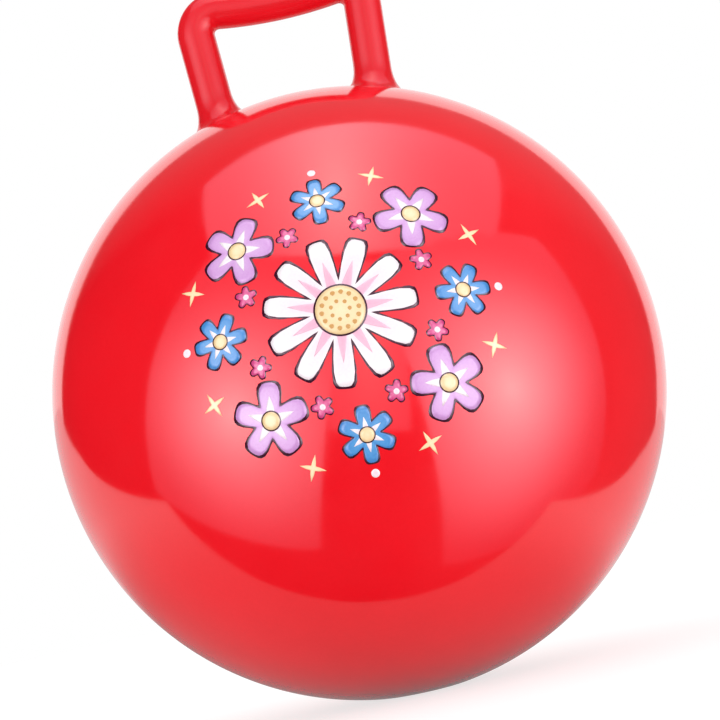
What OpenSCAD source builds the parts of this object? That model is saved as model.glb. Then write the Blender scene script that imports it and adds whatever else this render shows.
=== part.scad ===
// Hopper ball: an inflated vinyl ball with a hollow loop handle and a plugged air valve.
// Lengths are in millimetres and angles in degrees. The origin is the middle of the flat that
// the ball rests on, +Z runs up through the crown and the handle, +X runs along the grip to
// the right of someone who faces the front, and +Y is the back, where the valve is.

/* [Ball] */
// Diameter of the inflated ball
ball_d = 450; // [350:5:650]
// Thickness of the vinyl skin
skin_wall = 1; // [0.8:0.1:3]
// Diameter of the flat that the ball's weight presses against the floor
patch_d = 56; // [40:1:80]

/* [Handle] */
// Outer diameter of the handle's tube
tube_d = 28; // [20:0.5:32]
// Wall of the handle's tube
tube_wall = 3; // [2:0.25:5]
// How much thicker the grip is than the legs, with the bends halfway between
grip_swell = 0.4; // [0.2:0.1:1]
// Length of the grip between its two corner bends
grip_length = 88; // [60:1:120]
// Clear height between the crown of the ball and the middle of the grip
grip_clearance = 66; // [50:1:90]
// How far the middle of the grip bows towards the ball
grip_bow = 3; // [1:0.5:8]
// Radius of the corner bends, on the tube's centre line
bend_r = 18; // [17:0.5:24]
// Outward lean of each leg
leg_splay = 3.5; // [0:0.1:5]

/* [Handle roots] */
// Size of the fillet that flares each leg into the ball
foot_fillet = 24; // [12:0.5:28]
// Straight tube that each foot keeps above its fillet
foot_land = 2; // [1:0.5:4]
// Length of the neck in which each leg bends
neck_length = 18; // [14:1:22]

/* [Valve] */
// Angle from the crown, over the back of the ball, to the valve
valve_angle = 120; // [70:1:150]
// Diameter of the valve seat where it fills the hole in the skin
seat_d = 20; // [18:0.5:30]
// Diameter of the flange that holds the seat against the inside of the skin
flange_d = 32; // [30:1:46]
// Thickness of that flange at its edge
flange_t = 2; // [1:0.25:4]
// Length of the snout that carries the bore into the ball
snout_length = 14; // [12:1:22]
// Diameter of the snout at its inner end
snout_tip_d = 13; // [12:0.5:16]
// Diameter of the bore that the plug fills
valve_bore_d = 8; // [6:0.25:9]
// How far the rim of the seat stands proud of the ball
rim_proud = 0.6; // [0.2:0.1:1.5]

/* [Valve plug] */
// Diameter of the plug's head
plug_head_d = 15; // [12:0.5:16]
// Thickness of the plug's head at its edge
plug_head_t = 2; // [1.5:0.25:3]
// Depth of the nail groove under the edge of the head
nail_groove = 1.2; // [0.5:0.1:1.6]
// Length of the plug's shank below the head
shank_length = 13; // [9:0.5:16]
// Number of sealing ribs on the shank
rib_count = 3; // [2:1:4]
// How far each rib stands out from the shank
rib_height = 0.5; // [0.3:0.1:0.8]

/* [Fits] */
// Gap at the bonded seams between the skin and what is welded to it
weld_gap = 0.05; // [0.02:0.01:0.1]
// Radial gap between the plug's ribs and the bore
plug_clearance = 0.05; // [0.03:0.01:0.1]
// Radial gap between the plug's head and its recess
head_clearance = 0.3; // [0.2:0.05:0.6]

/* [Hidden] */
$fn = 96;
// Extra length that lets a cut pass clear of a face
overrun = 1;
// How far each thinner length of the handle runs on inside the thicker one beside it
tube_overlap = 1;
// Sides of the spheres
sphere_sides = 360;
// Sides of each foot's round surface, and steps along its fillet and along its underside
foot_sides = 48;
fillet_steps = 10;
underside_steps = 8;
// Colours
vinyl_red = [0.84, 0.06, 0.1];
seat_red = [0.7, 0.05, 0.08];
plug_white = [0.93, 0.93, 0.9];

// Ball
ball_r = ball_d / 2;
patch_r = patch_d / 2;
centre_z = sqrt(pow(ball_r, 2) - pow(patch_r, 2));
ball_centre = [0, 0, centre_z];
crown_z = centre_z + ball_r;
weld_r = ball_r + weld_gap;

// Handle, drawn in the XZ plane on the right side: the grip's half, its bend, then the leg
tube_r = tube_d / 2;
tube_bore_d = tube_d - 2 * tube_wall;
tube_bore_r = tube_bore_d / 2;
grip_half = grip_length / 2;
grip_mid_z = crown_z + grip_clearance + (tube_d + grip_swell) / 2;
bow_r = (pow(grip_half, 2) + pow(grip_bow, 2)) / (2 * grip_bow);
bow_half_angle = asin(grip_half / bow_r);
bow_centre = [0, 0, grip_mid_z + bow_r];
grip_end = [grip_half, 0, grip_mid_z + grip_bow];
bend_centre = grip_end + bend_r * [sin(bow_half_angle), 0, -cos(bow_half_angle)];
bend_sweep = 90 + bow_half_angle + leg_splay;
overlap_sweep = asin(tube_overlap / bend_r);
leg_top = bend_centre + bend_r * [cos(leg_splay), 0, -sin(leg_splay)];
leg_up = [sin(leg_splay), 0, cos(leg_splay)];
leg_out = [cos(leg_splay), 0, -sin(leg_splay)];
leg_side = [0, 1, 0];
leg_length = drop_to_ball(leg_top);
leg_foot = leg_top - leg_length * leg_up;

// Heights along the leg, from where its centre line meets the ball
inner_rise = (leg_hit(180, tube_r) - leg_foot) * leg_up;
foot_top = inner_rise + foot_fillet + foot_land;
neck_top = foot_top + neck_length;

// Valve, measured along its axis from the centre of the ball
seat_r = seat_d / 2;
rim_r = ball_r + rim_proud;
flange_face_r = ball_r - skin_wall - weld_gap;
flange_edge = sqrt(pow(flange_face_r, 2) - pow(flange_d / 2, 2));
flange_base = flange_edge - flange_t;
snout_end = flange_base - snout_length;
head_r = plug_head_d / 2;
head_edge = sqrt(pow(rim_r, 2) - pow(head_r, 2));
recess_floor = head_edge - plug_head_t;
rib_r = valve_bore_d / 2 - plug_clearance;
shank_r = rib_r - rib_height;
rib_pitch = shank_length / (rib_count + 1);

// How far below a point, down the leg's direction, the welded face of the ball lies
function drop_to_ball(p) =
    let (q = p - ball_centre, along = q * leg_up)
    along - sqrt(pow(along, 2) - q * q + pow(weld_r, 2));

function unit(v) = v / norm(v);

// The point of the welded face that lies in the given direction from the ball's centre
function on_ball(p) = ball_centre + weld_r * unit(p - ball_centre);

// The point round the leg at an angle from its outer side, in the plane through its top
function leg_rim(angle, r) = leg_top + r * (cos(angle) * leg_out + sin(angle) * leg_side);

// Where the line down the leg from that point meets the ball
function leg_hit(angle, r) =
    let (p = leg_rim(angle, r))
    p - drop_to_ball(p) * leg_up;

// The point round the leg at that angle, at a height above the foot
function leg_point(angle, r, height) = leg_rim(angle, r) - (leg_length - height) * leg_up;

// The outer edge of the fillet, one fillet length out along the ball's surface
function foot_edge(angle) =
    let (
        hit = leg_hit(angle, tube_r),
        normal = unit(hit - ball_centre),
        away = cos(angle) * leg_out + sin(angle) * leg_side
    )
    on_ball(hit + foot_fillet * unit(away - (away * normal) * normal));

// A point of the fillet, from the tube at 0 to its edge on the ball at 1
function fillet_point(angle, share) =
    let (hit = leg_hit(angle, tube_r))
    pow(1 - share, 2) * (hit + foot_fillet * leg_up)
        + 2 * share * (1 - share) * hit
        + pow(share, 2) * foot_edge(angle);

// A point of the underside, from the fillet's edge at 0 to the bore at 1
function underside_point(angle, share) =
    on_ball((1 - share) * foot_edge(angle) + share * leg_hit(angle, tube_bore_r));

// The foot's closed section at an angle round the leg
function foot_section(angle) = concat(
    [leg_point(angle, tube_r, foot_top)],
    [for (i = [0 : fillet_steps]) fillet_point(angle, i / fillet_steps)],
    [for (i = [1 : underside_steps]) underside_point(angle, i / underside_steps)],
    [leg_point(angle, tube_bore_r, foot_top)]
);

module flattened_ball(r, floor_z) {
    difference() {
        translate(ball_centre) sphere(r, $fn = sphere_sides);
        translate([-ball_d, -ball_d, floor_z - ball_d]) cube([2 * ball_d, 2 * ball_d, ball_d]);
    }
}

// Puts its children on the right leg, with +Z up the leg from the surface of the ball
module on_leg() {
    translate(leg_foot) rotate([0, leg_splay, 0]) children();
}

module both_sides() {
    children();
    mirror([1, 0, 0]) children();
}

// Puts its children on the valve's axis, with +Z outwards from the centre of the ball
module on_valve() {
    translate(ball_centre) rotate([-valve_angle, 0, 0]) children();
}

// A round bar bent along an arc in the XZ plane, with angles from +X towards +Z
module bent_bar(centre, r, start, sweep, d) {
    translate(centre) rotate([90, -start, 0]) rotate_extrude(angle = sweep)
        translate([r, 0]) circle(d = d);
}

// The handle's grip, bends and legs as a solid bar that is d thick at the legs, with a longer
// tail on each leg for a cut
module loop_bar(d, tail) {
    bent_bar(bow_centre, bow_r, -90 - bow_half_angle, 2 * bow_half_angle, d + grip_swell);
    both_sides() {
        bent_bar(bend_centre, bend_r, -leg_splay, bend_sweep + overlap_sweep, d + grip_swell / 2);
        on_leg() translate([0, 0, neck_top - tail])
            cylinder(d = d, h = leg_length - neck_top + tail + tube_overlap);
    }
}

module ball_skin() {
    color(vinyl_red) difference() {
        flattened_ball(ball_r, 0);
        flattened_ball(ball_r - skin_wall, skin_wall);
        both_sides() on_leg() translate([0, 0, -tube_d])
            cylinder(d = tube_bore_d, h = 2 * tube_d);
        on_valve() translate([0, 0, flange_base])
            cylinder(r = seat_r + weld_gap, h = ball_r - flange_base + overrun);
    }
}

module handle_foot() {
    sections = [for (i = [0 : foot_sides - 1]) foot_section(i * 360 / foot_sides)];
    count = len(sections[0]);
    points = [for (section = sections) each section];
    function index(i, k) = (i % foot_sides) * count + k % count;
    faces = [
        for (i = [0 : foot_sides - 1], k = [0 : count - 1])
            each [
                [index(i, k), index(i + 1, k), index(i + 1, k + 1)],
                [index(i, k), index(i + 1, k + 1), index(i, k + 1)]
            ]
    ];
    color(vinyl_red) polyhedron(points, faces);
}

module handle_neck() {
    color(vinyl_red) on_leg() difference() {
        translate([0, 0, foot_top]) cylinder(d = tube_d, h = neck_length);
        translate([0, 0, foot_top - overrun])
            cylinder(d = tube_bore_d, h = neck_length + 2 * overrun);
    }
}

module handle_loop() {
    color(vinyl_red) difference() {
        loop_bar(tube_d, 0);
        loop_bar(tube_bore_d, overrun);
    }
}

module valve_seat() {
    color(seat_red) on_valve() difference() {
        union() {
            intersection() {
                translate([0, 0, flange_base]) cylinder(r = seat_r, h = rim_r - flange_base);
                sphere(rim_r, $fn = sphere_sides);
            }
            intersection() {
                translate([0, 0, flange_base]) cylinder(d = flange_d, h = rim_r - flange_base);
                sphere(flange_face_r, $fn = sphere_sides);
            }
            translate([0, 0, snout_end])
                cylinder(d1 = snout_tip_d, d2 = seat_d, h = snout_length);
        }
        translate([0, 0, snout_end - overrun])
            cylinder(d = valve_bore_d, h = rim_r - snout_end + 2 * overrun);
        translate([0, 0, recess_floor])
            cylinder(r = head_r + head_clearance, h = rim_r - recess_floor + overrun);
    }
}

module valve_plug() {
    color(plug_white) on_valve() {
        // Head, domed to follow the ball, with a groove under its edge for a fingernail
        intersection() {
            translate([0, 0, recess_floor + plug_head_t / 2])
                cylinder(r = head_r, h = rim_r - recess_floor);
            sphere(rim_r, $fn = sphere_sides);
        }
        translate([0, 0, recess_floor])
            cylinder(r = head_r - nail_groove, h = plug_head_t / 2);
        // Shank with sealing ribs and a tapered tip
        translate([0, 0, recess_floor - shank_length]) cylinder(r = shank_r, h = shank_length);
        for (i = [1 : rib_count])
            translate([0, 0, recess_floor - i * rib_pitch])
                cylinder(r1 = shank_r, r2 = rib_r, h = rib_pitch / 2);
        translate([0, 0, recess_floor - shank_length - rib_pitch / 2])
            cylinder(r1 = shank_r - rib_height, r2 = shank_r, h = rib_pitch / 2);
    }
}

ball_skin();
mirror([1, 0, 0]) handle_foot();  // handle_foot_left
handle_foot();  // handle_foot_right
mirror([1, 0, 0]) handle_neck();  // handle_neck_left
handle_neck();  // handle_neck_right
handle_loop();
valve_seat();
valve_plug();
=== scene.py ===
import math

import bpy
from mathutils import Matrix, Vector


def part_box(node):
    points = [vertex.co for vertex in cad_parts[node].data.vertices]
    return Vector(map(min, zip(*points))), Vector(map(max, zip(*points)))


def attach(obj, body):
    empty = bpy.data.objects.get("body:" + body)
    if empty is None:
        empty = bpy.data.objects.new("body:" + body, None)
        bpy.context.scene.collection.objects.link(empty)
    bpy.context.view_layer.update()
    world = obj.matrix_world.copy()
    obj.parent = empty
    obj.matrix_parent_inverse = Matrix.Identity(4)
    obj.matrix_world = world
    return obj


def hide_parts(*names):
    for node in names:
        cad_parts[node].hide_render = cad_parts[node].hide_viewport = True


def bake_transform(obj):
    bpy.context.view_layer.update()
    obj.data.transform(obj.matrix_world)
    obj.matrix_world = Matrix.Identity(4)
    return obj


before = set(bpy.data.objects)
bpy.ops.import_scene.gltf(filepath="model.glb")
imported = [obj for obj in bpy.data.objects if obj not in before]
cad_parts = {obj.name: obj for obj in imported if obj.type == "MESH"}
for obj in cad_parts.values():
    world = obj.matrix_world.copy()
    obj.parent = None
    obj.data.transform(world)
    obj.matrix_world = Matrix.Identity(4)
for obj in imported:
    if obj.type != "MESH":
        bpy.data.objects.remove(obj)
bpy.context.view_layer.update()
scene = bpy.context.scene
scene.view_settings.view_transform = "Standard"
mm = 0.001

# the ball is one true sphere pressed flat where it stands, so its sizes come from the frame
skinLow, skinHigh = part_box("ball_skin")
ballRadius = round((skinHigh[0] - skinLow[0]) / 2, 3)
ballCentre = Vector((0.0, 0.0, skinHigh[2] - ballRadius))
print("frame loaded, ball radius", ballRadius)


# short hands for building node trees
socketKinds = {float: "NodeSocketFloat", int: "NodeSocketInt", tuple: "NodeSocketVector",
               bpy.types.Material: "NodeSocketMaterial"}


def feed(tree, value, socket):
    if isinstance(value, bpy.types.NodeSocket):
        tree.links.new(value, socket)
    else:
        socket.default_value = value


def add(tree, kind, values=None, **settings):
    node = tree.nodes.new(kind)
    for key, value in settings.items():
        setattr(node, key, value)
    for key, value in (values or {}).items():
        feed(tree, value, node.inputs[key])
    return node


def calc(tree, operation, *values):
    node = add(tree, "ShaderNodeMath", operation=operation)
    for value, socket in zip(values, node.inputs):
        feed(tree, value, socket)
    return node.outputs[0]


def vecCalc(tree, operation, *values):
    node = add(tree, "ShaderNodeVectorMath", operation=operation)
    slots = [node.inputs[0], node.inputs[3]] if operation == "SCALE" else list(node.inputs)
    for value, socket in zip(values, slots):
        feed(tree, value, socket)
    return node.outputs[1 if operation in ("LENGTH", "DOT_PRODUCT", "DISTANCE") else 0]


def ranged(tree, value, fromLow, fromHigh, toLow, toHigh, curve="LINEAR"):
    node = add(tree, "ShaderNodeMapRange", interpolation_type=curve)
    for given, socket in zip((value, fromLow, fromHigh, toLow, toHigh), node.inputs):
        feed(tree, given, socket)
    return node.outputs[0]


def split(tree, vector):
    return add(tree, "ShaderNodeSeparateXYZ", {"Vector": vector}).outputs


def joinXyz(tree, x, y, z):
    return add(tree, "ShaderNodeCombineXYZ", {"X": x, "Y": y, "Z": z}).outputs[0]


def newTree(name, sizes):
    tree = bpy.data.node_groups.new(name, "GeometryNodeTree")
    tree.interface.new_socket("Geometry", in_out="INPUT", socket_type="NodeSocketGeometry")
    for label, value in sizes.items():
        tree.interface.new_socket(label, in_out="INPUT", socket_type=socketKinds[type(value)])
    tree.interface.new_socket("Geometry", in_out="OUTPUT", socket_type="NodeSocketGeometry")
    return tree, tree.nodes.new("NodeGroupInput").outputs, tree.nodes.new("NodeGroupOutput").inputs[0]


def closeTree(tree, geometry, material, result):
    whole = add(tree, "GeometryNodeRealizeInstances", {"Geometry": geometry}).outputs[0]
    painted = add(tree, "GeometryNodeSetMaterial", {"Geometry": whole, "Material": material})
    tree.links.new(painted.outputs[0], result)


def newPiece(name, mesh):
    piece = bpy.data.objects.new(name, mesh)
    scene.collection.objects.link(piece)
    return piece


def grow(name, tree, sizes, data=None):      # runs a tree and keeps its result as a plain mesh
    maker = newPiece(name + "Maker", data or bpy.data.meshes.new(name + "Start"))
    modifier = maker.modifiers.new(tree.name, "NODES")
    modifier.node_group = tree
    for socket in tree.interface.items_tree:
        if socket.in_out == "INPUT" and socket.name in sizes:
            modifier[socket.identifier] = sizes[socket.name]
    depsgraph = bpy.context.evaluated_depsgraph_get()
    mesh = bpy.data.meshes.new_from_object(maker.evaluated_get(depsgraph), preserve_all_data_layers=True,
                                           depsgraph=depsgraph)
    mesh.name = name
    bpy.data.objects.remove(maker)
    return newPiece(name, mesh)


def pathCurve(name, points, radii):
    curve = bpy.data.curves.new(name, "CURVE")
    curve.dimensions = "3D"
    spline = curve.splines.new("POLY")
    spline.points.add(len(points) - 1)
    for point, place, radius in zip(spline.points, points, radii):
        point.co = (*place, 1.0)
        point.radius = radius
    return curve


# finishes
vinylLook = {
    "deepRed": (0.80, 0.0050, 0.0125), "brightRed": (0.86, 0.0075, 0.0165),
    "gloss": 0.085, "dull": 0.125, "refraction": 1.53, "shine": 1.0,
    "handleDull": 0.09, "dullFrom": 0.0 * mm, "dullBy": 3.0 * mm,      # the handle is less shiny
    "cloudScale": 7.0, "speckScale": 420.0, "peelScale": 520.0, "waveScale": 16.0,
    "peelDepth": 0.000004, "waveDepth": 0.00030,
}
# the handle is the same vinyl as the ball: its darker reds here are painted shade
handleLookPaintedShade = dict(vinylLook, deepRed=(0.68, 0.0040, 0.0110), brightRed=(0.74, 0.0060, 0.0145), shine=0.54)


def shaderStart(name):
    material = bpy.data.materials.new(name)
    material.use_nodes = True
    tree = material.node_tree
    where = add(tree, "ShaderNodeTexCoord").outputs["Object"]
    return material, tree, tree.nodes["Principled BSDF"], where


def grain(tree, where, scale, detail=2.0, roughness=0.5):
    values = {"Vector": where, "Scale": scale, "Detail": detail, "Roughness": roughness}
    return add(tree, "ShaderNodeTexNoise", values).outputs[0]


def blendColour(tree, share, first, second):
    node = add(tree, "ShaderNodeMix", data_type="RGBA")
    feed(tree, share, node.inputs[0])
    feed(tree, first, node.inputs[6])
    feed(tree, second, node.inputs[7])
    return node.outputs[2]


def dent(tree, height, depth, under=None):
    values = {"Height": height, "Distance": depth, "Strength": 1.0}
    if under is not None:
        values["Normal"] = under
    return add(tree, "ShaderNodeBump", values).outputs[0]


def redVinyl(name, look):
    material, tree, shader, where = shaderStart(name)
    clouds = ranged(tree, grain(tree, where, look["cloudScale"], 3.0), 0.35, 0.65, 0.0, 1.0)
    specks = ranged(tree, grain(tree, where, look["speckScale"], 2.0), 0.3, 0.7, -0.15, 0.15)
    mixed = calc(tree, "ADD", clouds, specks)
    red = blendColour(tree, mixed, (*look["deepRed"], 1.0), (*look["brightRed"], 1.0))
    tree.links.new(red, shader.inputs["Base Color"])
    rubbed = grain(tree, where, look["cloudScale"] * 5.0, 4.0, 0.6)
    shine = ranged(tree, rubbed, 0.35, 0.7, look["gloss"], look["dull"])
    height = calc(tree, "SUBTRACT", vecCalc(tree, "DISTANCE", where, tuple(ballCentre)), ballRadius)
    duller = ranged(tree, height, look["dullFrom"], look["dullBy"], 0.0, look["handleDull"], "SMOOTHSTEP")
    tree.links.new(calc(tree, "ADD", shine, duller), shader.inputs["Roughness"])
    wave = dent(tree, grain(tree, where, look["waveScale"], 1.0), look["waveDepth"])
    peel = dent(tree, grain(tree, where, look["peelScale"], 2.0), look["peelDepth"], wave)
    tree.links.new(peel, shader.inputs["Normal"])
    shader.inputs["IOR"].default_value = look["refraction"]
    shader.inputs["Specular IOR Level"].default_value = look["shine"]
    return material


seatLook = {"low": (0.60, 0.010, 0.018), "high": (0.70, 0.016, 0.026), "gloss": 0.30, "dull": 0.42,
            "cloudScale": 60.0, "grainScale": 900.0, "grainDepth": 0.00004, "refraction": 1.53}
plugLook = {"low": (0.80, 0.79, 0.74), "high": (0.88, 0.87, 0.83), "gloss": 0.34, "dull": 0.50,
            "cloudScale": 90.0, "grainScale": 1400.0, "grainDepth": 0.00003, "refraction": 1.51}
inkLook = {"gloss": 0.10, "dull": 0.16, "cloudScale": 30.0, "screenScale": 700.0, "depth": 0.000006,
           "refraction": 1.80}


def mouldedPlastic(name, look):
    material, tree, shader, where = shaderStart(name)
    clouds = ranged(tree, grain(tree, where, look["cloudScale"], 4.0), 0.3, 0.7, 0.0, 1.0)
    colour = blendColour(tree, clouds, (*look["low"], 1.0), (*look["high"], 1.0))
    tree.links.new(colour, shader.inputs["Base Color"])
    fine = grain(tree, where, look["grainScale"], 3.0, 0.6)
    tree.links.new(ranged(tree, fine, 0.3, 0.7, look["gloss"], look["dull"]), shader.inputs["Roughness"])
    tree.links.new(dent(tree, fine, look["grainDepth"]), shader.inputs["Normal"])
    shader.inputs["IOR"].default_value = look["refraction"]
    return material


def printInk(name, rim, middle):
    material, tree, shader, where = shaderStart(name + "Ink")
    share = add(tree, "ShaderNodeAttribute", attribute_name="petalShare").outputs["Fac"]
    screen = ranged(tree, grain(tree, where, inkLook["screenScale"], 2.0), 0.3, 0.7, -0.12, 0.12)
    faded = calc(tree, "ADD", share, screen)
    colour = blendColour(tree, faded, (*middle, 1.0), (*rim, 1.0))
    tree.links.new(colour, shader.inputs["Base Color"])
    clouds = grain(tree, where, inkLook["cloudScale"], 3.0)
    shine = ranged(tree, clouds, 0.3, 0.7, inkLook["gloss"], inkLook["dull"])
    tree.links.new(shine, shader.inputs["Roughness"])
    tree.links.new(dent(tree, grain(tree, where, inkLook["screenScale"], 2.0), inkLook["depth"]),
                   shader.inputs["Normal"])
    shader.inputs["IOR"].default_value = inkLook["refraction"]
    return material


ballVinyl = redVinyl("ballVinyl", vinylLook)
# the handle's vinyl, with its reds darkened as painted shade
handleVinylPaintedShade = redVinyl("handleVinylPaintedShade", handleLookPaintedShade)
seatVinyl = mouldedPlastic("seatVinyl", seatLook)
plugPlastic = mouldedPlastic("plugPlastic", plugLook)
print("finishes made")


# the blown skin: one sheet turned about the valve's axis, outer and inner wall joined at the valve's hole
ballSkin = {
    "Radius": ballRadius, "Wall": 1.0 * mm, "Hole Radius": 10.05 * mm,
    "Valve Turn": math.radians(120.0), "Centre Height": ballCentre.z, "Patch Softness": 1.0 * mm,
    "Sides": 257, "Rows": 211, "Inner Share": 0.30, "Rim Share": 0.02, "Vinyl": ballVinyl,
}


def ballTree(sizes):
    tree, given, result = newTree("blownSkin", sizes)
    grid = add(tree, "GeometryNodeMeshGrid", {"Size X": 1.0, "Size Y": 1.0, "Vertices X": given["Sides"],
                                              "Vertices Y": given["Rows"]})
    flat = split(tree, add(tree, "GeometryNodeInputPosition").outputs[0])
    around = calc(tree, "MULTIPLY", calc(tree, "ADD", flat[0], 0.5), -math.tau)
    row = calc(tree, "ADD", flat[1], 0.5)
    outerFrom = calc(tree, "ADD", given["Inner Share"], given["Rim Share"])
    holeAngle = calc(tree, "ARCSINE", calc(tree, "DIVIDE", given["Hole Radius"], given["Radius"]))
    innerAngle = ranged(tree, row, 0.0, given["Inner Share"], math.pi, holeAngle)
    outerAngle = ranged(tree, row, outerFrom, 1.0, holeAngle, math.pi)
    polar = calc(tree, "MAXIMUM", innerAngle, outerAngle)
    inside = calc(tree, "SUBTRACT", given["Radius"], given["Wall"])
    reach = ranged(tree, row, given["Inner Share"], outerFrom, inside, given["Radius"])
    across = calc(tree, "MULTIPLY", reach, calc(tree, "SINE", polar))
    local = joinXyz(tree, calc(tree, "MULTIPLY", across, calc(tree, "COSINE", around)),
                    calc(tree, "MULTIPLY", across, calc(tree, "SINE", around)),
                    calc(tree, "MULTIPLY", reach, calc(tree, "COSINE", polar)))
    turned = add(tree, "ShaderNodeVectorRotate", {"Vector": local, "Angle": calc(tree, "MULTIPLY",
                 given["Valve Turn"], -1.0)}, rotation_type="X_AXIS").outputs[0]
    placed = split(tree, vecCalc(tree, "ADD", turned, joinXyz(tree, 0.0, 0.0, given["Centre Height"])))
    floorLevel = ranged(tree, row, given["Inner Share"], outerFrom, given["Wall"], 0.0)
    pressed = calc(tree, "SMOOTH_MAX", placed[2], floorLevel, given["Patch Softness"])
    shaped = add(tree, "GeometryNodeSetPosition", {"Geometry": grid.outputs[0],
                 "Position": joinXyz(tree, placed[0], placed[1], pressed)})
    welded = add(tree, "GeometryNodeMergeByDistance", {"Geometry": shaped.outputs[0], "Distance": 0.01 * mm})
    smooth = add(tree, "GeometryNodeSetShadeSmooth", {"Geometry": welded.outputs[0]})
    closeTree(tree, smooth.outputs[0], given["Vinyl"], result)
    return tree


skinPiece = grow("blown_skin", ballTree(ballSkin), ballSkin)
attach(skinPiece, "ball")
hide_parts("ball_skin")
print("skin", len(skinPiece.data.polygons), "faces")


# the hollow handle: one tube along legs, bends and grip, flared out into the ball at both feet
handleLoop = {
    "gripLength": 88.0 * mm, "gripBow": 3.0 * mm, "gripClearance": 66.0 * mm, "bendRadius": 18.0 * mm,
    "legSplay": math.radians(3.5), "tubeRadius": 14.0 * mm, "gripRadius": 14.2 * mm, "flareSize": 24.0 * mm,
    "rootReach": 5.0 * mm, "fineStep": 0.5 * mm, "legStep": 1.6 * mm, "bendSteps": 36, "gripSteps": 44,
}
handleSweep = {
    "Sides": 128, "Ball Radius": ballRadius, "Ball Centre": tuple(ballCentre),
    "Flare": handleLoop["flareSize"], "Leg Splay": handleLoop["legSplay"],
    "Root Run": 0.5, "Root Depth": 0.18 * mm, "Root Share": 0.16,
    "Ridge Height": 0.22 * mm, "Ridge Width": 0.5 * mm, "Vinyl": handleVinylPaintedShade,
}


def handlePath(sizes):       # right half from the foot up to the middle of the grip, then mirrored
    half = sizes["gripLength"] / 2
    bowRadius = (half ** 2 + sizes["gripBow"] ** 2) / (2 * sizes["gripBow"])
    bowAngle = math.asin(half / bowRadius)
    crown = ballCentre.z + ballRadius
    gripMiddle = crown + sizes["gripClearance"] + sizes["gripRadius"]
    bend = sizes["bendRadius"]
    bendX = half + bend * math.sin(bowAngle)
    bendZ = gripMiddle + sizes["gripBow"] - bend * math.cos(bowAngle)
    splay = sizes["legSplay"]
    topX = bendX + bend * math.cos(splay)
    topZ = bendZ - bend * math.sin(splay)
    downX, downZ = -math.sin(splay), -math.cos(splay)
    towards = topX * downX + (topZ - ballCentre.z) * downZ
    beyond = topX ** 2 + (topZ - ballCentre.z) ** 2 - ballRadius ** 2
    legLength = -towards - math.sqrt(towards ** 2 - beyond)
    heights = []                       # along the leg, from under the skin up
    height = -sizes["rootReach"]
    while height < legLength - sizes["legStep"] / 2:
        heights.append(height)
        height += sizes["fineStep"] if height < sizes["flareSize"] else sizes["legStep"]
    path = []
    for height in heights:
        below = legLength - height
        path.append((topX + downX * below, topZ + downZ * below, sizes["tubeRadius"]))
    for step in range(sizes["bendSteps"]):
        share = step / sizes["bendSteps"]
        angle = -splay + share * (math.pi / 2 + bowAngle + splay)
        swell = share * share * (3 - 2 * share)
        radius = sizes["tubeRadius"] + swell * (sizes["gripRadius"] - sizes["tubeRadius"])
        path.append((bendX + bend * math.cos(angle), bendZ + bend * math.sin(angle), radius))
    for step in range(sizes["gripSteps"] // 2):
        angle = bowAngle * (1 - 2 * step / sizes["gripSteps"])
        rise = bowRadius * (1 - math.cos(angle))
        path.append((bowRadius * math.sin(angle), gripMiddle + rise, sizes["gripRadius"]))
    mirrored = [(-x, z, radius) for x, z, radius in reversed(path)]
    whole = path + [(0.0, gripMiddle, sizes["gripRadius"])] + mirrored
    return [(x, 0.0, z) for x, z, radius in whole], [radius for x, z, radius in whole]


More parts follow.
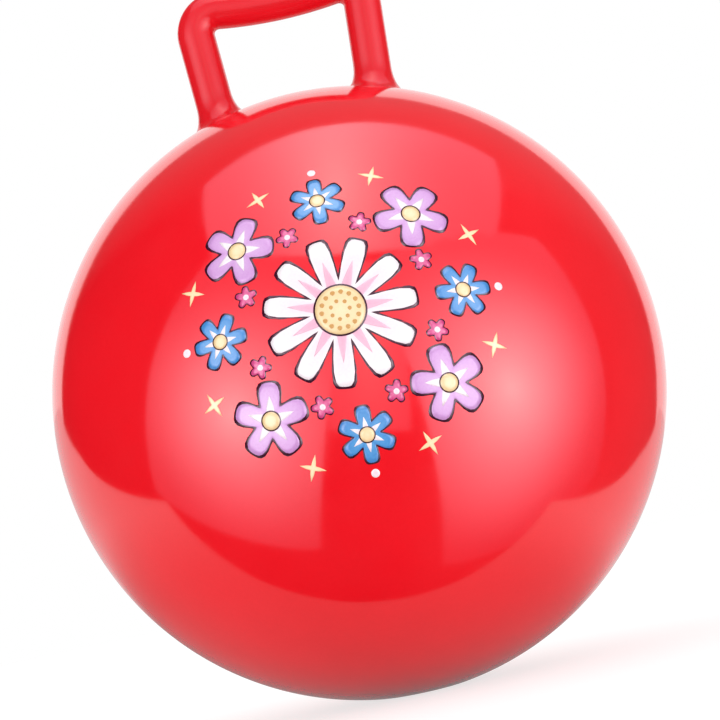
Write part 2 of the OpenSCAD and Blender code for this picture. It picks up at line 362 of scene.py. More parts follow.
def handleTree(sizes):
    tree, given, result = newTree("flaredTube", sizes)
    ring = add(tree, "GeometryNodeCurvePrimitiveCircle", {"Resolution": given["Sides"], "Radius": 1.0})
    width = add(tree, "GeometryNodeInputRadius").outputs[0]
    tube = add(tree, "GeometryNodeCurveToMesh", {"Curve": given["Geometry"], "Profile Curve": ring.outputs[0],
                                                 "Scale": width, "Fill Caps": True}).outputs[0]
    place = add(tree, "GeometryNodeInputPosition").outputs[0]
    normal = add(tree, "GeometryNodeInputNormal").outputs[0]
    # parting line of the mould, along the tube's inner and outer side
    offMiddle = calc(tree, "DIVIDE", split(tree, place)[1], given["Ridge Width"])
    hump = calc(tree, "EXPONENT", calc(tree, "MULTIPLY", calc(tree, "MULTIPLY", offMiddle, offMiddle), -1.0))
    rise = vecCalc(tree, "SCALE", normal, calc(tree, "MULTIPLY", hump, given["Ridge Height"]))
    ridged = add(tree, "GeometryNodeSetPosition", {"Geometry": tube, "Offset": rise}).outputs[0]
    # the flare: each point near the ball slides down its leg and curls out along the ball
    fromBall = vecCalc(tree, "SUBTRACT", place, given["Ball Centre"])
    upward = vecCalc(tree, "NORMALIZE", fromBall)
    height = calc(tree, "SUBTRACT", vecCalc(tree, "LENGTH", fromBall), given["Ball Radius"])
    above = calc(tree, "DIVIDE", height, given["Flare"])
    rest = ranged(tree, above, 0.0, 1.0, 0.0, 1.0)
    curl = calc(tree, "SUBTRACT", 1.0, rest)
    over = calc(tree, "MAXIMUM", calc(tree, "SUBTRACT", height, given["Flare"]), 0.0)
    eased = calc(tree, "MULTIPLY", given["Flare"], calc(tree, "MULTIPLY", rest, rest))
    level = calc(tree, "ADD", eased, over)
    legSide = calc(tree, "MULTIPLY", calc(tree, "SIGN", split(tree, place)[0]), given["Leg Splay"])
    legUp = joinXyz(tree, calc(tree, "SINE", legSide), 0.0, calc(tree, "COSINE", legSide))
    steep = vecCalc(tree, "DOT_PRODUCT", legUp, upward)
    drop = calc(tree, "DIVIDE", calc(tree, "SUBTRACT", height, level), steep)
    slid = vecCalc(tree, "SUBTRACT", fromBall, vecCalc(tree, "SCALE", legUp, drop))
    # below the skin the root runs on a little way, just under the surface
    buried = ranged(tree, above, -1.0, 0.0, 1.0, 0.0)
    rootRun = calc(tree, "MULTIPLY", buried, given["Root Run"])
    run = calc(tree, "ADD", calc(tree, "MULTIPLY", curl, curl), rootRun)
    sunk = ranged(tree, buried, 0.0, given["Root Share"], 0.0, given["Root Depth"])
    lean = vecCalc(tree, "SCALE", upward, vecCalc(tree, "DOT_PRODUCT", normal, upward))
    outward = vecCalc(tree, "NORMALIZE", vecCalc(tree, "SUBTRACT", normal, lean))
    moved = vecCalc(tree, "SCALE", outward, calc(tree, "MULTIPLY", given["Flare"], run))
    aimed = vecCalc(tree, "NORMALIZE", vecCalc(tree, "ADD", slid, moved))
    reach = calc(tree, "ADD", given["Ball Radius"], calc(tree, "SUBTRACT", level, sunk))
    settled = vecCalc(tree, "SCALE", aimed, reach)
    flared = add(tree, "GeometryNodeSetPosition", {"Geometry": ridged,
                 "Position": vecCalc(tree, "ADD", settled, given["Ball Centre"])}).outputs[0]
    smooth = add(tree, "GeometryNodeSetShadeSmooth", {"Geometry": flared})
    closeTree(tree, smooth.outputs[0], given["Vinyl"], result)
    return tree


handlePoints, handleWidths = handlePath(handleLoop)
handlePiece = grow("handle_tube", handleTree(handleSweep), handleSweep,
                   pathCurve("handlePath", handlePoints, handleWidths))
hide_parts("handle_loop", "handle_neck_left", "handle_neck_right",
            "handle_foot_left", "handle_foot_right")
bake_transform(handlePiece)
print("handle", len(handlePiece.data.polygons), "faces")


# the mould's parting line on the ball, as fine beads from foot to floor and over the crown
seamBead = {"Sides": 10, "Bead Radius": 0.40 * mm, "Vinyl": ballVinyl}
seamLine = {"sunk": 0.20 * mm, "step": math.radians(1.0), "crownEnd": math.radians(6.4),
            "footEdge": math.radians(25.6), "floorEdge": math.radians(171.0)}


def beadTree(sizes):
    tree, given, result = newTree("seamBead", sizes)
    ring = add(tree, "GeometryNodeCurvePrimitiveCircle", {"Resolution": given["Sides"],
                                                          "Radius": given["Bead Radius"]})
    bead = add(tree, "GeometryNodeCurveToMesh", {"Curve": given["Geometry"], "Profile Curve": ring.outputs[0],
                                                 "Fill Caps": True})
    smooth = add(tree, "GeometryNodeSetShadeSmooth", {"Geometry": bead.outputs[0]})
    closeTree(tree, smooth.outputs[0], given["Vinyl"], result)
    return tree


def seamCurve(line):
    curve = bpy.data.curves.new("seamLine", "CURVE")
    curve.dimensions = "3D"
    reach = ballRadius - line["sunk"]
    for start, end in ((-line["crownEnd"], line["crownEnd"]), (line["footEdge"], line["floorEdge"]),
                       (-line["footEdge"], -line["floorEdge"])):
        steps = round(abs(end - start) / line["step"])
        spline = curve.splines.new("POLY")
        spline.points.add(steps)
        for index, point in enumerate(spline.points):
            angle = start + (end - start) * index / steps
            point.co = (reach * math.sin(angle), 0.0, ballCentre.z + reach * math.cos(angle), 1.0)
    return curve


seamPiece = grow("seam_bead", beadTree(seamBead), seamBead, seamCurve(seamLine))
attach(seamPiece, "ball")


# the valve: seat bonded into the skin, and a plug pushed into its bore
valve = {
    "turn": math.radians(120.0), "rimProud": 0.6 * mm, "wall": 1.0 * mm, "gap": 0.05 * mm,
    "seatRadius": 10.0 * mm, "flangeRadius": 16.0 * mm, "flangeThick": 2.0 * mm,
    "snoutLength": 14.0 * mm, "snoutTip": 6.5 * mm, "boreRadius": 4.0 * mm,
    "headRadius": 7.5 * mm, "headThick": 2.0 * mm, "headGap": 0.3 * mm, "nailGroove": 1.2 * mm,
    "shankLength": 13.0 * mm, "ribHeight": 0.5 * mm, "ribCount": 3,
    "edgeRound": 0.35 * mm, "sides": 96, "arcSteps": 6,
}


def arcOver(radius, start, end, steps):       # points over the ball's centre, as (radius, height)
    rows = [start + (end - start) * i / steps for i in range(steps + 1)]
    return [(r, math.sqrt(radius ** 2 - r ** 2)) for r in rows]


def softened(outline, size, closed, steps=3):        # rounds each corner of an outline
    result = []
    count = len(outline)
    for index, corner in enumerate(outline):
        if not closed and index in (0, count - 1):
            result.append(corner)
            continue
        here = Vector(corner)
        before = Vector(outline[index - 1]) - here
        after = Vector(outline[(index + 1) % count]) - here
        first = here + before.normalized() * min(size, before.length * 0.4)
        last = here + after.normalized() * min(size, after.length * 0.4)
        for step in range(steps + 1):
            t = step / steps
            result.append(tuple(first * (1 - t) ** 2 + here * 2 * t * (1 - t) + last * t ** 2))
    return result


def turnedMesh(name, outline, sides, closed):        # turns an outline round the valve's axis
    verts, rings, faces = [], [], []
    for radius, height in outline:
        if radius < 1e-7:
            rings.append([len(verts)] * sides)
            verts.append((0.0, 0.0, height))
            continue
        rings.append(list(range(len(verts), len(verts) + sides)))
        for side in range(sides):
            angle = math.tau * side / sides
            verts.append((radius * math.cos(angle), radius * math.sin(angle), height))
    pairs = list(zip(rings, rings[1:])) + ([(rings[-1], rings[0])] if closed else [])
    for lower, upper in pairs:
        for side in range(sides):
            following = (side + 1) % sides
            corners = (lower[side], lower[following], upper[following], upper[side])
            faces.append(tuple(dict.fromkeys(corners)))
    mesh = bpy.data.meshes.new(name)
    mesh.from_pydata(verts, [], faces)
    mesh.shade_smooth()
    return mesh


rimRadius = ballRadius + valve["rimProud"]
flangeFace = ballRadius - valve["wall"] - valve["gap"]
flangeEdge = math.sqrt(flangeFace ** 2 - valve["flangeRadius"] ** 2)
flangeBase = flangeEdge - valve["flangeThick"]
headEdge = math.sqrt(rimRadius ** 2 - valve["headRadius"] ** 2)
recessFloor = headEdge - valve["headThick"]
recessRadius = valve["headRadius"] + valve["headGap"]
ribRadius = valve["boreRadius"] - valve["gap"]
shankRadius = ribRadius - valve["ribHeight"]
ribPitch = valve["shankLength"] / (valve["ribCount"] + 1)
onValve = Matrix.Translation(ballCentre) @ Matrix.Rotation(-valve["turn"], 4, "X")


def seatOutline():
    snoutEnd = flangeBase - valve["snoutLength"]
    inner = arcOver(flangeFace, valve["flangeRadius"], valve["seatRadius"], valve["arcSteps"])
    rim = arcOver(rimRadius, valve["seatRadius"], recessRadius, valve["arcSteps"])
    return [(valve["boreRadius"], snoutEnd), (valve["snoutTip"], snoutEnd), (valve["seatRadius"], flangeBase),
            (valve["flangeRadius"], flangeBase), *inner, *rim, (recessRadius, recessFloor),
            (valve["boreRadius"], recessFloor)]


def plugOutline():
    shankEnd = recessFloor - valve["shankLength"]
    tipEnd = shankEnd - ribPitch / 2
    step = recessFloor + valve["headThick"] / 2
    neck = valve["headRadius"] - valve["nailGroove"]
    dome = arcOver(rimRadius, valve["headRadius"], 0.0, valve["arcSteps"] * 2)
    return [(0.0, tipEnd), (shankRadius - valve["ribHeight"], tipEnd), (shankRadius, shankEnd),
            (shankRadius, recessFloor), (neck, recessFloor), (neck, step), (valve["headRadius"], step), *dome]


def ribTree(sizes):
    tree, given, result = newTree("sealingRibs", sizes)
    index = add(tree, "GeometryNodeInputIndex").outputs[0]
    drop = calc(tree, "MULTIPLY", calc(tree, "ADD", index, 1.0), calc(tree, "MULTIPLY", given["Pitch"], -1.0))
    place = joinXyz(tree, 0.0, 0.0, drop)
    spots = add(tree, "GeometryNodePoints", {"Count": given["Count"], "Position": place}).outputs[0]
    copies = add(tree, "GeometryNodeInstanceOnPoints", {"Points": spots, "Instance": given["Geometry"]})
    closeTree(tree, copies.outputs[0], given["Plastic"], result)
    return tree


seatMesh = turnedMesh("valve_collar", softened(seatOutline(), valve["edgeRound"], True), valve["sides"], True)
seatMesh.transform(onValve)
seatMesh.materials.append(seatVinyl)
seatPiece = newPiece("valve_collar", seatMesh)
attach(seatPiece, "ball")
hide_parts("valve_seat")

plugMesh = turnedMesh("push_plug", softened(plugOutline(), valve["edgeRound"], False), valve["sides"], False)
plugMesh.transform(onValve)
plugMesh.materials.append(plugPlastic)
plugPiece = newPiece("push_plug", plugMesh)
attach(plugPiece, "plug")
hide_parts("valve_plug")

ribSizes = {"Count": valve["ribCount"], "Pitch": ribPitch, "Plastic": plugPlastic}
ribTop = recessFloor + ribPitch / 2
ribCore = shankRadius - valve["ribHeight"]
ribOutline = [(ribCore, recessFloor), (shankRadius, recessFloor), (ribRadius, ribTop), (ribCore, ribTop)]
ribRing = softened(ribOutline, valve["ribHeight"] / 4, True)
ribMesh = turnedMesh("sealingRib", ribRing, valve["sides"] // 2, True)
ribPiece = grow("plug_ribs", ribTree(ribSizes), ribSizes, ribMesh)
ribPiece.data.transform(onValve)
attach(ribPiece, "plug")
print("valve and plug made")


# the printed posy: flat shapes of ink, laid out on a circle and wrapped on to the ball
printPlace = {"height": math.radians(8.0), "sink": 0.05 * mm, "layer": 0.045 * mm, "ringGap": 4.0 * mm,
              "sidesPerLobe": 14, "roundSides": 40}
inkColours = {                         # at the rim of a shape, and towards its middle
    "plum": ((0.050, 0.006, 0.022), (0.050, 0.006, 0.022)),
    "white": ((0.93, 0.86, 0.90), (0.88, 0.66, 0.76)),
    "blush": ((0.86, 0.50, 0.64), (0.82, 0.36, 0.52)),
    "cream": ((0.90, 0.66, 0.34), (0.94, 0.78, 0.50)),
    "tan": ((0.62, 0.32, 0.08), (0.62, 0.32, 0.08)),
    "lilac": ((0.60, 0.30, 0.66), (0.74, 0.50, 0.80)),
    "blue": ((0.06, 0.26, 0.64), (0.16, 0.46, 0.80)),
    "rose": ((0.66, 0.05, 0.22), (0.80, 0.20, 0.40)),
}
posy = [        # name, ink, layer, copies, circle mm, start deg, lobes, reach mm, waist mm, sharpness
    ("daisy_edge", "plum", 1, 1, 0, 0, 11, 50.0, 24.0, 8.0),
    ("daisy_petals", "white", 2, 1, 0, 0, 11, 48.6, 19.0, 5.0),
    ("daisy_veins", "blush", 3, 1, 0, 0, 11, 34.0, 14.0, 0.9),
    ("daisy_eye_edge", "plum", 4, 1, 0, 0, 0, 17.0, 0, 1.0),
    ("daisy_eye", "cream", 5, 1, 0, 0, 0, 15.8, 0, 1.0),
    ("daisy_seeds", "tan", 6, 14, 11.8, 0, 0, 1.5, 0, 1.0),
    ("daisy_seeds_inner", "tan", 6, 7, 6.0, 0, 0, 1.3, 0, 1.0),
    ("wide_blossom_edge", "plum", 1, 4, 82, 45, 5, 25.4, 13.0, 6.5),
    ("wide_blossom", "lilac", 2, 4, 82, 45, 5, 24.2, 10.5, 4.0),
    ("wide_blossom_veins", "white", 3, 4, 82, 45, 5, 16.0, 5.5, 0.8),
    ("wide_blossom_eye_edge", "plum", 4, 4, 82, 45, 0, 6.6, 0, 1.0),
    ("wide_blossom_eye", "cream", 5, 4, 82, 45, 0, 5.7, 0, 1.0),
    ("small_blossom_edge", "plum", 1, 4, 80, 0, 6, 19.0, 10.2, 6.5),
    ("small_blossom", "blue", 2, 4, 80, 0, 6, 18.0, 8.2, 4.0),
    ("small_blossom_veins", "white", 3, 4, 80, 0, 6, 11.5, 4.4, 0.8),
    ("small_blossom_eye_edge", "plum", 4, 4, 80, 0, 0, 5.4, 0, 1.0),
    ("small_blossom_eye", "cream", 5, 4, 80, 0, 0, 4.6, 0, 1.0),
    ("bud_edge", "plum", 1, 8, 62, 22.5, 5, 7.8, 4.9, 3.6),
    ("bud", "rose", 2, 8, 62, 22.5, 5, 7.0, 4.0, 2.6),
    ("bud_eye", "white", 3, 8, 62, 22.5, 0, 1.9, 0, 1.0),
    ("star", "cream", 2, 8, 101, 22.5, 4, 9.0, 2.2, 0.6),
    ("dot", "white", 2, 4, 105, 0, 0, 2.8, 0, 1.0),
]


def inkTree(sizes):
    tree, given, result = newTree("wrappedInk", sizes)
    columns = calc(tree, "ADD", given["Sides"], 1.0)
    rows = calc(tree, "ADD", given["Rings"], 1.0)
    grid = add(tree, "GeometryNodeMeshGrid", {"Size X": 1.0, "Size Y": 1.0, "Vertices X": columns,
                                              "Vertices Y": rows}).outputs[0]
    place = add(tree, "GeometryNodeInputPosition").outputs[0]
    flat = split(tree, place)
    around = calc(tree, "MULTIPLY", calc(tree, "ADD", flat[0], 0.5), -math.tau)
    outShare = calc(tree, "ADD", flat[1], 0.5)
    beat = calc(tree, "SINE", calc(tree, "MULTIPLY", calc(tree, "MULTIPLY", given["Lobes"], 0.5), around))
    notch = calc(tree, "POWER", calc(tree, "ABSOLUTE", beat), given["Sharpness"])
    swing = calc(tree, "MULTIPLY", notch, calc(tree, "SUBTRACT", given["Reach"], given["Waist"]))
    reach = calc(tree, "MULTIPLY", outShare, calc(tree, "SUBTRACT", given["Reach"], swing))
    outline = joinXyz(tree, calc(tree, "MULTIPLY", reach, calc(tree, "COSINE", around)),
                      calc(tree, "MULTIPLY", reach, calc(tree, "SINE", around)), 0.0)
    marked = add(tree, "GeometryNodeStoreNamedAttribute", {"Geometry": grid, "Name": "petalShare",
                                                           "Value": outShare}).outputs[0]
    shaped = add(tree, "GeometryNodeSetPosition", {"Geometry": marked, "Position": outline}).outputs[0]
    welded = add(tree, "GeometryNodeMergeByDistance", {"Geometry": shaped, "Distance": 0.002 * mm}).outputs[0]
    # copies round the circle, each with its first lobe pointing outwards
    index = add(tree, "GeometryNodeInputIndex").outputs[0]
    turn = calc(tree, "ADD", given["Start"], calc(tree, "MULTIPLY", index,
                calc(tree, "DIVIDE", math.tau, given["Copies"])))
    spot = joinXyz(tree, calc(tree, "MULTIPLY", given["Circle"], calc(tree, "COSINE", turn)),
                   calc(tree, "MULTIPLY", given["Circle"], calc(tree, "SINE", turn)), 0.0)
    spots = add(tree, "GeometryNodePoints", {"Count": given["Copies"], "Position": spot}).outputs[0]
    facing = add(tree, "FunctionNodeEulerToRotation", {"Euler": joinXyz(tree, 0.0, 0.0, turn)}).outputs[0]
    copies = add(tree, "GeometryNodeInstanceOnPoints", {"Points": spots, "Instance": welded,
                                                        "Rotation": facing})
    laid = add(tree, "GeometryNodeRealizeInstances", {"Geometry": copies.outputs[0]}).outputs[0]
    # wrap: distance from the middle of the print becomes an angle on the ball
    flatPlace = split(tree, place)
    aside = vecCalc(tree, "ADD", vecCalc(tree, "SCALE", given["Print Right"], flatPlace[0]),
                    vecCalc(tree, "SCALE", given["Print Up"], flatPlace[1]))
    angle = calc(tree, "DIVIDE", vecCalc(tree, "LENGTH", aside), given["Ball Radius"])
    ray = vecCalc(tree, "ADD", vecCalc(tree, "SCALE", given["Print Out"], calc(tree, "COSINE", angle)),
                  vecCalc(tree, "SCALE", vecCalc(tree, "NORMALIZE", aside), calc(tree, "SINE", angle)))
    under = calc(tree, "SUBTRACT", given["Ball Radius"], given["Sink"])
    onBall = vecCalc(tree, "ADD", given["Ball Centre"], vecCalc(tree, "SCALE", ray, under))
    wrapped = add(tree, "GeometryNodeSetPosition", {"Geometry": laid, "Position": onBall}).outputs[0]
    thick = calc(tree, "ADD", given["Sink"], given["Lift"])
    film = add(tree, "GeometryNodeExtrudeMesh", {"Mesh": wrapped, "Individual": False, "Offset Scale": thick})
    smooth = add(tree, "GeometryNodeSetShadeSmooth", {"Geometry": film.outputs["Mesh"],
                                                      "Selection": film.outputs["Top"]}).outputs[0]
    backing = add(tree, "GeometryNodeFlipFaces", {"Mesh": wrapped}).outputs[0]
    both = add(tree, "GeometryNodeJoinGeometry")
    tree.links.new(smooth, both.inputs[0])
    tree.links.new(backing, both.inputs[0])
    closed = add(tree, "GeometryNodeMergeByDistance", {"Geometry": both.outputs[0], "Distance": 0.002 * mm})
    closeTree(tree, closed.outputs[0], given["Ink"], result)
    return tree


printOut = Vector((0.0, -math.cos(printPlace["height"]), math.sin(printPlace["height"])))
printRight = Vector((1.0, 0.0, 0.0))
printUp = printOut.cross(printRight)
inkFinishes = {name: printInk(name, *pair) for name, pair in inkColours.items()}
inkMaker = None
for name, ink, layer, copies, circle, start, lobes, reach, waist, sharpness in posy:
    inkSizes = {
        "Copies": copies, "Circle": circle * mm, "Start": math.radians(start), "Lobes": lobes,
        "Reach": reach * mm, "Waist": waist * mm, "Sharpness": sharpness,
        "Sides": lobes * printPlace["sidesPerLobe"] if lobes else printPlace["roundSides"],
        "Rings": max(2, math.ceil(reach * mm / printPlace["ringGap"])),
        "Lift": layer * printPlace["layer"], "Sink": printPlace["sink"],
        "Ball Radius": ballRadius, "Ball Centre": tuple(ballCentre), "Print Out": tuple(printOut),
        "Print Right": tuple(printRight), "Print Up": tuple(printUp), "Ink": inkFinishes[ink],
    }
    inkMaker = inkMaker or inkTree(inkSizes)
    inkPiece = grow("print_" + name, inkMaker, inkSizes)
    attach(inkPiece, "ball")
print("print made of", len(posy), "layers")


# camera: level of view and roll from the photograph, aimed so the ball lands where it does there
shot = {
    "lens": 90.9, "distance": 1.35, "azimuth": math.radians(0.0), "elevation": math.radians(-6.5),
    "roll": math.radians(12.2), "sensor": 36.0, "picture": 720.0, "ballAt": (359.5, 392.0),
}


def cameraAxes(view):
    turn, lift, roll = view["azimuth"], view["elevation"], view["roll"]
    back = Vector((math.sin(turn) * math.cos(lift), -math.cos(turn) * math.cos(lift), math.sin(lift)))
    levelRight = Vector((math.cos(turn), math.sin(turn), 0.0))
    levelUp = back.cross(levelRight)
    right = levelRight * math.cos(roll) - levelUp * math.sin(roll)
    up = levelRight * math.sin(roll) + levelUp * math.cos(roll)
    return right, up, back


camRight, camUp, camBack = cameraAxes(shot)
focal = shot["lens"] / shot["sensor"] * shot["picture"]
offRight = (shot["ballAt"][0] - shot["picture"] / 2) / focal
offUp = (shot["picture"] / 2 - shot["ballAt"][1]) / focal
toBall = (camRight * offRight + camUp * offUp - camBack).normalized()
cameraData = bpy.data.cameras.new("studioCamera")
cameraData.lens = shot["lens"]
cameraData.sensor_width = shot["sensor"]
camera = newPiece("studioCamera", cameraData)
turnMatrix = Matrix((camRight, camUp, camBack)).transposed().to_4x4()
camera.matrix_world = Matrix.Translation(ballCentre - toBall * shot["distance"]) @ turnMatrix
scene.camera = camera


# light: an even white surround for the colours, and a few soft boxes that only show as reflections
studio = {
    "ambient": 1.09, "floorSize": 9.0, "floorShade": 0.94, "floorSeen": 0.30, "floorGlow": 0.73,
    "cardDistance": 5.0, "cardSteps": 16, "falloff": 3.0,
}
softBoxes = {                # corner directions seen from the ball: right, up, towards the camera
    "upperBox": {
        "corners": [(-0.58, 0.77, -0.28), (0.46, 0.79, -0.40),
                    (0.645, 0.73, 0.225), (-0.707, 0.658, 0.26)],
        "dip": 0.35, "edge": 0.76, "foot": 0.76, "hot": 2.75, "hotAt": (0.47, 0.55), "hotSize": (0.60, 2.5),
    },
    "leftBox": {
        "corners": [(-0.707, 0.658, 0.26), (-0.03, 0.70, 0.71),
                    (-0.206, -0.808, 0.552), (-0.895, -0.44, 0.075)],
        "dip": 0.0, "edge": 0.40, "foot": 0.34, "hot": 4.0, "hotAt": (0.58, 0.56), "hotSize": (1.0, 0.60),
    },
    "rightBox": {
        "corners": [(0.03, 0.70, 0.71), (0.753, 0.657, -0.019),
                    (0.938, -0.33, -0.16), (0.409, -0.842, 0.351)],
        "dip": 0.0, "edge": 0.55, "foot": 0.22, "hot": 4.6, "hotAt": (0.345, 0.495), "hotSize": (0.88, 0.60),
    },
    "middleBox": {
        "corners": [(-0.10, 0.72, 0.69), (0.16, 0.72, 0.67),
                    (0.30, -0.21, 0.93), (-0.18, -0.21, 0.96)],
        "dip": 0.0, "edge": 0.65, "foot": 0.50, "hot": 1.1, "hotAt": (0.50, 0.50), "hotSize": (1.0, 1.0),
        "behind": 0.2,
    },
}
boxTint = (1.0, 0.80, 1.0, 1.0)


def seenFrom(aim):           # from camera directions at the ball to a place in the room
    return ballCentre + camRight * aim.x + camUp * aim.y + camBack * aim.z


def glowSheet(name, box, distance, steps):      # a sheet spread between four directions, with its own UV map
    verts, faces, uvs = [], [], []
    corners = [Vector(corner) for corner in box["corners"]]
    for row in range(steps + 1):
        for column in range(steps + 1):
            u, v = column / steps, row / steps
            aim = corners[0].lerp(corners[1], u).lerp(corners[3].lerp(corners[2], u), v)
            aim.z += box["dip"] * 4 * u * (1 - u) * v
            verts.append(seenFrom(aim.normalized() * distance))
            uvs.append((u, v))
    for row in range(steps):
        for column in range(steps):
            first = row * (steps + 1) + column
            faces.append((first, first + 1, first + steps + 2, first + steps + 1))
    mesh = bpy.data.meshes.new(name)
    mesh.from_pydata(verts, [], faces)
    layer = mesh.uv_layers.new(name="UVMap")
    for loop in mesh.loops:
        layer.data[loop.index].uv = uvs[loop.vertex_index]
    return newPiece(name, mesh)


def reflectionOnly(piece):
    piece.visible_camera = False
    piece.visible_diffuse = False
    piece.visible_transmission = False
    piece.visible_volume_scatter = False
    piece.visible_shadow = False


def glowStart(name):
    material = bpy.data.materials.new(name)
    material.use_nodes = True
    tree = material.node_tree
    tree.nodes.clear()
    glow = add(tree, "ShaderNodeEmission")
    tree.links.new(glow.outputs[0], add(tree, "ShaderNodeOutputMaterial").inputs[0])
    return material, tree, glow


def boxGlow(name, box):      # brightest at the lamp behind the cloth, falling off to the edge
    material, tree, glow = glowStart(name + "Glow")
    where = split(tree, add(tree, "ShaderNodeUVMap").outputs[0])
    aside = calc(tree, "DIVIDE", calc(tree, "SUBTRACT", where[0], box["hotAt"][0]), box["hotSize"][0])
    along = calc(tree, "DIVIDE", calc(tree, "SUBTRACT", where[1], box["hotAt"][1]), box["hotSize"][1])
    off = vecCalc(tree, "LENGTH", joinXyz(tree, aside, along, 0.0))
    peak = calc(tree, "POWER", ranged(tree, off, 0.0, 1.0, 1.0, 0.0), studio["falloff"])
    spread = ranged(tree, where[1], 0.0, 1.0, box["edge"], box["foot"])
    tree.links.new(ranged(tree, peak, 0.0, 1.0, spread, box["hot"]), glow.inputs["Strength"])
    tree.links.new(blendColour(tree, peak, boxTint, (1.0, 1.0, 1.0, 1.0)), glow.inputs["Color"])
    return material


for boxName, box in softBoxes.items():
    sheet = glowSheet(boxName, box, studio["cardDistance"] + box.get("behind", 0.0), studio["cardSteps"])
    sheet.data.materials.append(boxGlow(boxName, box))
    reflectionOnly(sheet)

# the dark room round the camera, open to the white backdrop behind the object
room = {"distance": 6.5, "opening": math.radians(40.0), "steps": 48,
        "dark": 0.01, "right": 0.09, "topBack": 0.21}


def darkRoom(sizes):
    steps = sizes["steps"]
    verts, faces = [], []
    for row in range(steps + 1):
        polar = (math.pi - sizes["opening"]) * row / steps
        for column in range(steps):
            around = math.tau * column / steps
            wide = math.sin(polar)
            aim = Vector((wide * math.cos(around), wide * math.sin(around), math.cos(polar)))
            verts.append(seenFrom(aim * sizes["distance"]))
    for row in range(steps):
        for column in range(steps):
            following = (column + 1) % steps
            faces.append((row * steps + column, row * steps + following, (row + 1) * steps + following,
                          (row + 1) * steps + column))
    mesh = bpy.data.meshes.new("darkRoom")
    mesh.from_pydata(verts, [], faces)
    return newPiece("darkRoom", mesh)


def roomGlow(sizes):
    material, tree, glow = glowStart("roomDark")
    where = add(tree, "ShaderNodeTexCoord").outputs["Object"]
    aim = vecCalc(tree, "NORMALIZE", vecCalc(tree, "SUBTRACT", where, tuple(ballCentre)))
    toRight = vecCalc(tree, "DOT_PRODUCT", aim, tuple(camRight))
    toTopBack = vecCalc(tree, "DOT_PRODUCT", aim, tuple(camUp - camBack))
    rightward = ranged(tree, toRight, 0.2, 0.8, 0.0, sizes["right"])
    topBack = ranged(tree, toTopBack, 0.9, 1.4, 0.0, sizes["topBack"])
    level = calc(tree, "ADD", calc(tree, "ADD", rightward, topBack), sizes["dark"])
    tree.links.new(level, glow.inputs["Strength"])
    return material


dome = darkRoom(room)
dome.data.materials.append(roomGlow(room))
reflectionOnly(dome)

# pale table top as the ball mirrors it, level in the picture and shaded close to the ball
tableTop = {
    "front": 0.20, "frontHalf": 0.40, "middleBack": 0.50, "middleHalf": 0.93, "farBack": 4.0, "farHalf": 3.0,
    "shadeEnd": 0.20, "lightFrom": 0.45, "shade": 0.30, "light": 0.72,
}


def mirroredTable(sizes):
    halves = [(sizes["frontHalf"], sizes["front"]), (sizes["middleHalf"], -sizes["middleBack"]),
              (sizes["farHalf"], -sizes["farBack"])]
    outline = halves + [(-x, z) for x, z in reversed(halves)]
    verts = [seenFrom(Vector((x, -ballCentre.z, z))) for x, z in outline]
    mesh = bpy.data.meshes.new("mirroredTable")
    mesh.from_pydata(verts, [], [tuple(range(len(verts)))])
    return newPiece("mirroredTable", mesh)


def tableGlow(sizes):
    material, tree, glow = glowStart("tableGlow")
    where = add(tree, "ShaderNodeTexCoord").outputs["Object"]
    off = vecCalc(tree, "DISTANCE", where, tuple(seenFrom(Vector((0.0, -ballCentre.z, 0.0)))))
    level = ranged(tree, off, sizes["shadeEnd"], sizes["lightFrom"], sizes["shade"], sizes["light"],
                   "SMOOTHSTEP")
    tree.links.new(level, glow.inputs["Strength"])
    return material


table = mirroredTable(tableTop)
table.data.materials.append(tableGlow(tableTop))
reflectionOnly(table)


def floorDisc(size, sides=64):
    turns = [math.tau * side / sides for side in range(sides)]
    mesh = bpy.data.meshes.new("paleFloor")
    verts = [(size * math.cos(turn), size * math.sin(turn), 0.0) for turn in turns]
    mesh.from_pydata(verts, [], [tuple(range(sides))])
    return newPiece("paleFloor", mesh)


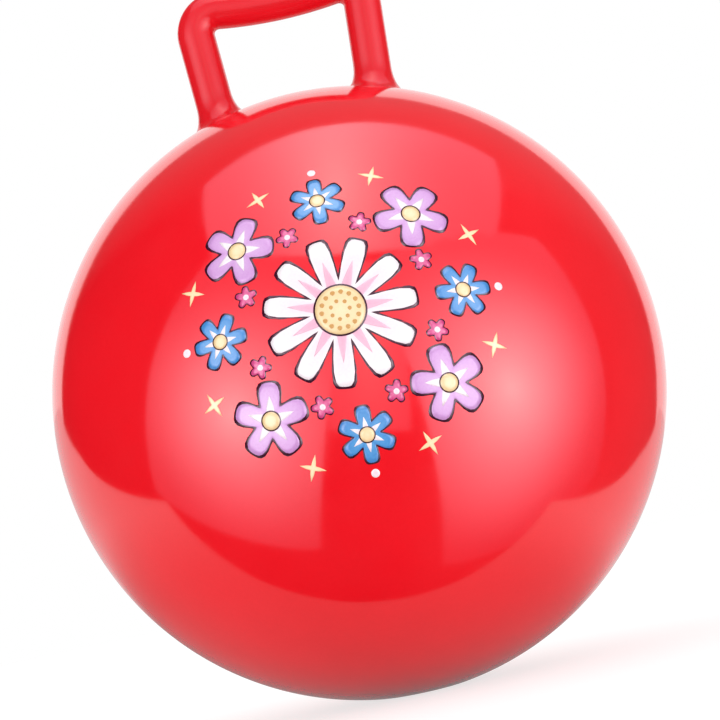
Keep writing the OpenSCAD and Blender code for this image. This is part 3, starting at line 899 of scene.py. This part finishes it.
def seenDirectly(tree):      # 1 for what the camera sees, straight or by way of gloss or glass
    path = add(tree, "ShaderNodeLightPath").outputs
    shiny = calc(tree, "MAXIMUM", path["Is Glossy Ray"], path["Is Transmission Ray"])
    return calc(tree, "MAXIMUM", path["Is Camera Ray"], shiny)


def floorPaint(look):
    material, tree, glow = glowStart("palePaint")
    seen = seenDirectly(tree)
    shade = ranged(tree, seen, 0.0, 1.0, look["floorShade"], look["floorSeen"])
    matt = add(tree, "ShaderNodeBsdfDiffuse", {"Color": joinXyz(tree, shade, shade, shade)})
    tree.links.new(calc(tree, "MULTIPLY", seen, look["floorGlow"]), glow.inputs["Strength"])
    both = add(tree, "ShaderNodeAddShader")
    tree.links.new(matt.outputs[0], both.inputs[0])
    tree.links.new(glow.outputs[0], both.inputs[1])
    tree.links.new(both.outputs[0], tree.nodes["Material Output"].inputs[0])
    return material


floor = floorDisc(studio["floorSize"])
floor.data.materials.append(floorPaint(studio))
floor.visible_glossy = False

world = bpy.data.worlds.new("whiteRoom")
scene.world = world
world.use_nodes = True
worldTree = world.node_tree
worldLevel = ranged(worldTree, seenDirectly(worldTree), 0.0, 1.0, studio["ambient"], 1.0)
worldBack = worldTree.nodes["Background"]
worldBack.inputs["Color"].default_value = (1.0, 1.0, 1.0, 1.0)
worldTree.links.new(worldLevel, worldBack.inputs["Strength"])

lamps = {                      # soft fill, kept out of the reflections
    "topLamp": {"place": (0.0, -0.3, 2.7), "size": 1.8, "power": 5.0},
    "rightLamp": {"place": (2.2, -1.3, 0.25), "size": 1.6, "power": 15.0},
    "leftLamp": {"place": (-1.5, -2.1, 0.25), "size": 1.6, "power": 9.0},
}
for lampName, lamp in lamps.items():
    lampData = bpy.data.lights.new(lampName, "AREA")
    lampData.size = lamp["size"]
    lampData.energy = lamp["power"]
    lampPiece = newPiece(lampName, lampData)
    aim = (ballCentre - Vector(lamp["place"])).to_track_quat("-Z", "Y").to_matrix().to_4x4()
    lampPiece.matrix_world = Matrix.Translation(lamp["place"]) @ aim
    lampPiece.visible_glossy = False
print("stage set")
